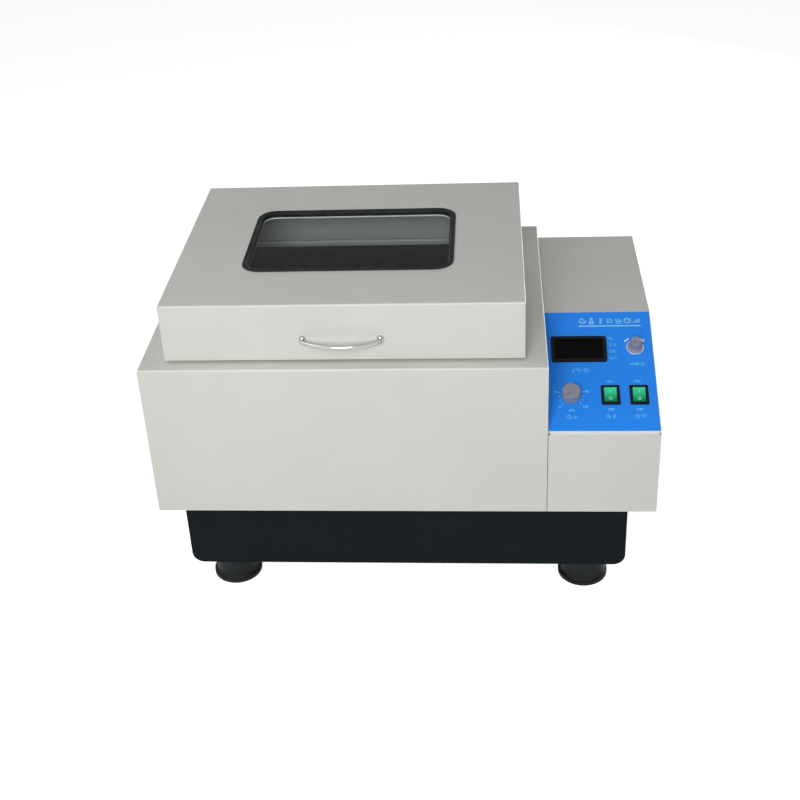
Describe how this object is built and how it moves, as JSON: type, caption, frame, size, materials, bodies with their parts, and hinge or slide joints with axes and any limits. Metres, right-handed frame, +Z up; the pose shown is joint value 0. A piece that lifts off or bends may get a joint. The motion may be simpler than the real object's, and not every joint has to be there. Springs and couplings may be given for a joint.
{
  "type": "incubated benchtop shaker",
  "caption": "Heated shaker cabinet with a hinged windowed lid, a sloped control panel, and a flask tray that an eccentric crank carries round a small circle.",
  "frame": {"origin": "on the bench surface, below the centre of the overall bounding box", "axes": "+X along the length towards the control housing, +Y from front to back, +Z up"},
  "size_m": [0.7, 0.4584, 0.4872],
  "materials": {
    "white_paint": "satin",
    "black_paint": "satin",
    "panel_blue": "satin",
    "rubber_black": "matte",
    "rubber_grey": "matte",
    "stainless": "satin",
    "zinc_steel": "satin",
    "chrome": "polished",
    "machined_aluminium": "satin",
    "iron": "matte",
    "motor_paint": "satin",
    "black_plastic": "satin",
    "grey_plastic": "satin",
    "rocker_plastic": "gloss",
    "display_filter": "gloss",
    "window_glass": "gloss",
    "board_green": "matte",
    "wool": "matte"
  },
  "bodies": {
    "instrument": {"base_tub": "black_paint", "rubber_feet": "rubber_black", "foot_bolts": "zinc_steel", "chassis_plate": "zinc_steel", "chamber_housing": "white_paint", "chamber_liner": "stainless", "chamber_insulation": "wool", "lid_seal": "rubber_grey", "control_housing": "white_paint", "control_panel": "panel_blue", "display_bezel": "black_plastic", "display_window": "display_filter", "display_board": "board_green", "timer_body": "grey_plastic", "speed_potentiometer": "zinc_steel", "rocker_frames": "black_plastic", "rear_panel": "white_paint", "rear_screws": "zinc_steel", "power_inlet": "black_plastic", "fuse_holders": "black_plastic", "power_board": "board_green", "drive_motor": "motor_paint", "motor_bracket": "zinc_steel", "drive_belt": "rubber_black", "main_bearing_housing": "iron", "idler_bearing_housings": "iron", "shaft_bearings": "zinc_steel", "duct_cover": "black_paint", "heater_element": "stainless", "fan_motor": "motor_paint", "temperature_probe": "stainless", "hinge_body_leaves": "zinc_steel", "hinge_pins": "zinc_steel"},
    "lid": {"lid_shell": "white_paint", "lid_liner": "stainless", "lid_insulation": "wool", "window_gasket": "rubber_black", "window_glass": "window_glass", "lid_handle": "chrome", "handle_screws": "zinc_steel", "hinge_lid_leaves": "zinc_steel"},
    "timer_dial": {"timer_knob": "grey_plastic", "timer_shaft": "zinc_steel"},
    "speed_dial": {"speed_cap": "grey_plastic", "speed_skirt": "grey_plastic", "speed_shaft": "zinc_steel"},
    "heat_switch": {"heat_rocker": "rocker_plastic"},
    "power_switch": {"power_rocker": "rocker_plastic"},
    "drive_crank": {"main_crank": "zinc_steel", "main_pulley": "machined_aluminium", "counterweight": "iron"},
    "idler_1": {"idler_crank_1": "zinc_steel"},
    "idler_2": {"idler_crank_2": "zinc_steel"},
    "idler_3": {"idler_crank_3": "zinc_steel"},
    "motor_rotor": {"motor_pulley": "machined_aluminium"},
    "fan_rotor": {"fan_impeller": "machined_aluminium"},
    "tray": {"tray_carrier": "stainless", "tray_bearings": "zinc_steel", "rack_frame": "stainless", "rack_springs": "stainless"}
  },
  "joints": [
    {"name": "lid_hinge", "type": "hinge", "parent": "instrument", "child": "lid", "pos_m": [-0.0725, 0.19865, 0.4034], "axis": [-1, 0, 0], "range_deg": [0, 100]},
    {"name": "timer_turn", "type": "hinge", "parent": "instrument", "child": "timer_dial", "pos_m": [0.233, -0.16689, 0.32055], "axis": [0, 0.398, -0.9174], "range_deg": [0, 273]},
    {"name": "speed_turn", "type": "hinge", "parent": "instrument", "child": "speed_dial", "pos_m": [0.3247, -0.09349, 0.35239], "axis": [0, 0.398, -0.9174], "range_deg": [0, 300]},
    {"name": "heat_rocking", "type": "hinge", "parent": "instrument", "child": "heat_switch", "pos_m": [0.2862, -0.16569, 0.31954], "axis": [-1, 0, 0], "range_deg": [0, 24]},
    {"name": "power_rocking", "type": "hinge", "parent": "instrument", "child": "power_switch", "pos_m": [0.3247, -0.16569, 0.31954], "axis": [-1, 0, 0], "range_deg": [0, 24]},
    {"name": "crank_spin", "type": "hinge", "parent": "instrument", "child": "drive_crank", "pos_m": [-0.0725, -0.01625, 0.12], "axis": [0, 0, 1], "continuous": true},
    {"name": "tray_orbit", "type": "hinge", "parent": "drive_crank", "child": "tray", "pos_m": [-0.0625, -0.01625, 0.212], "axis": [0, 0, 1], "continuous": true},
    {"name": "idler_1_spin", "type": "hinge", "parent": "instrument", "child": "idler_1", "pos_m": [-0.2125, -0.10125, 0.14], "axis": [0, 0, 1], "continuous": true},
    {"name": "idler_2_spin", "type": "hinge", "parent": "instrument", "child": "idler_2", "pos_m": [0.0675, -0.10125, 0.14], "axis": [0, 0, 1], "continuous": true},
    {"name": "idler_3_spin", "type": "hinge", "parent": "instrument", "child": "idler_3", "pos_m": [-0.0725, 0.08875, 0.14], "axis": [0, 0, 1], "continuous": true},
    {"name": "motor_spin", "type": "hinge", "parent": "instrument", "child": "motor_rotor", "pos_m": [0.1495, -0.01625, 0.0665], "axis": [0, 0, 1], "continuous": true},
    {"name": "fan_spin", "type": "hinge", "parent": "instrument", "child": "fan_rotor", "pos_m": [-0.0725, 0.16, 0.275], "axis": [0, -1, 0], "continuous": true}
  ],
  "couplings": [
    {"joint": "tray_orbit", "follows": "crank_spin", "ratio": -1},
    {"joint": "idler_1_spin", "follows": "crank_spin", "ratio": 1},
    {"joint": "idler_2_spin", "follows": "crank_spin", "ratio": 1},
    {"joint": "idler_3_spin", "follows": "crank_spin", "ratio": 1},
    {"joint": "motor_spin", "follows": "crank_spin", "ratio": 3}
  ]
}
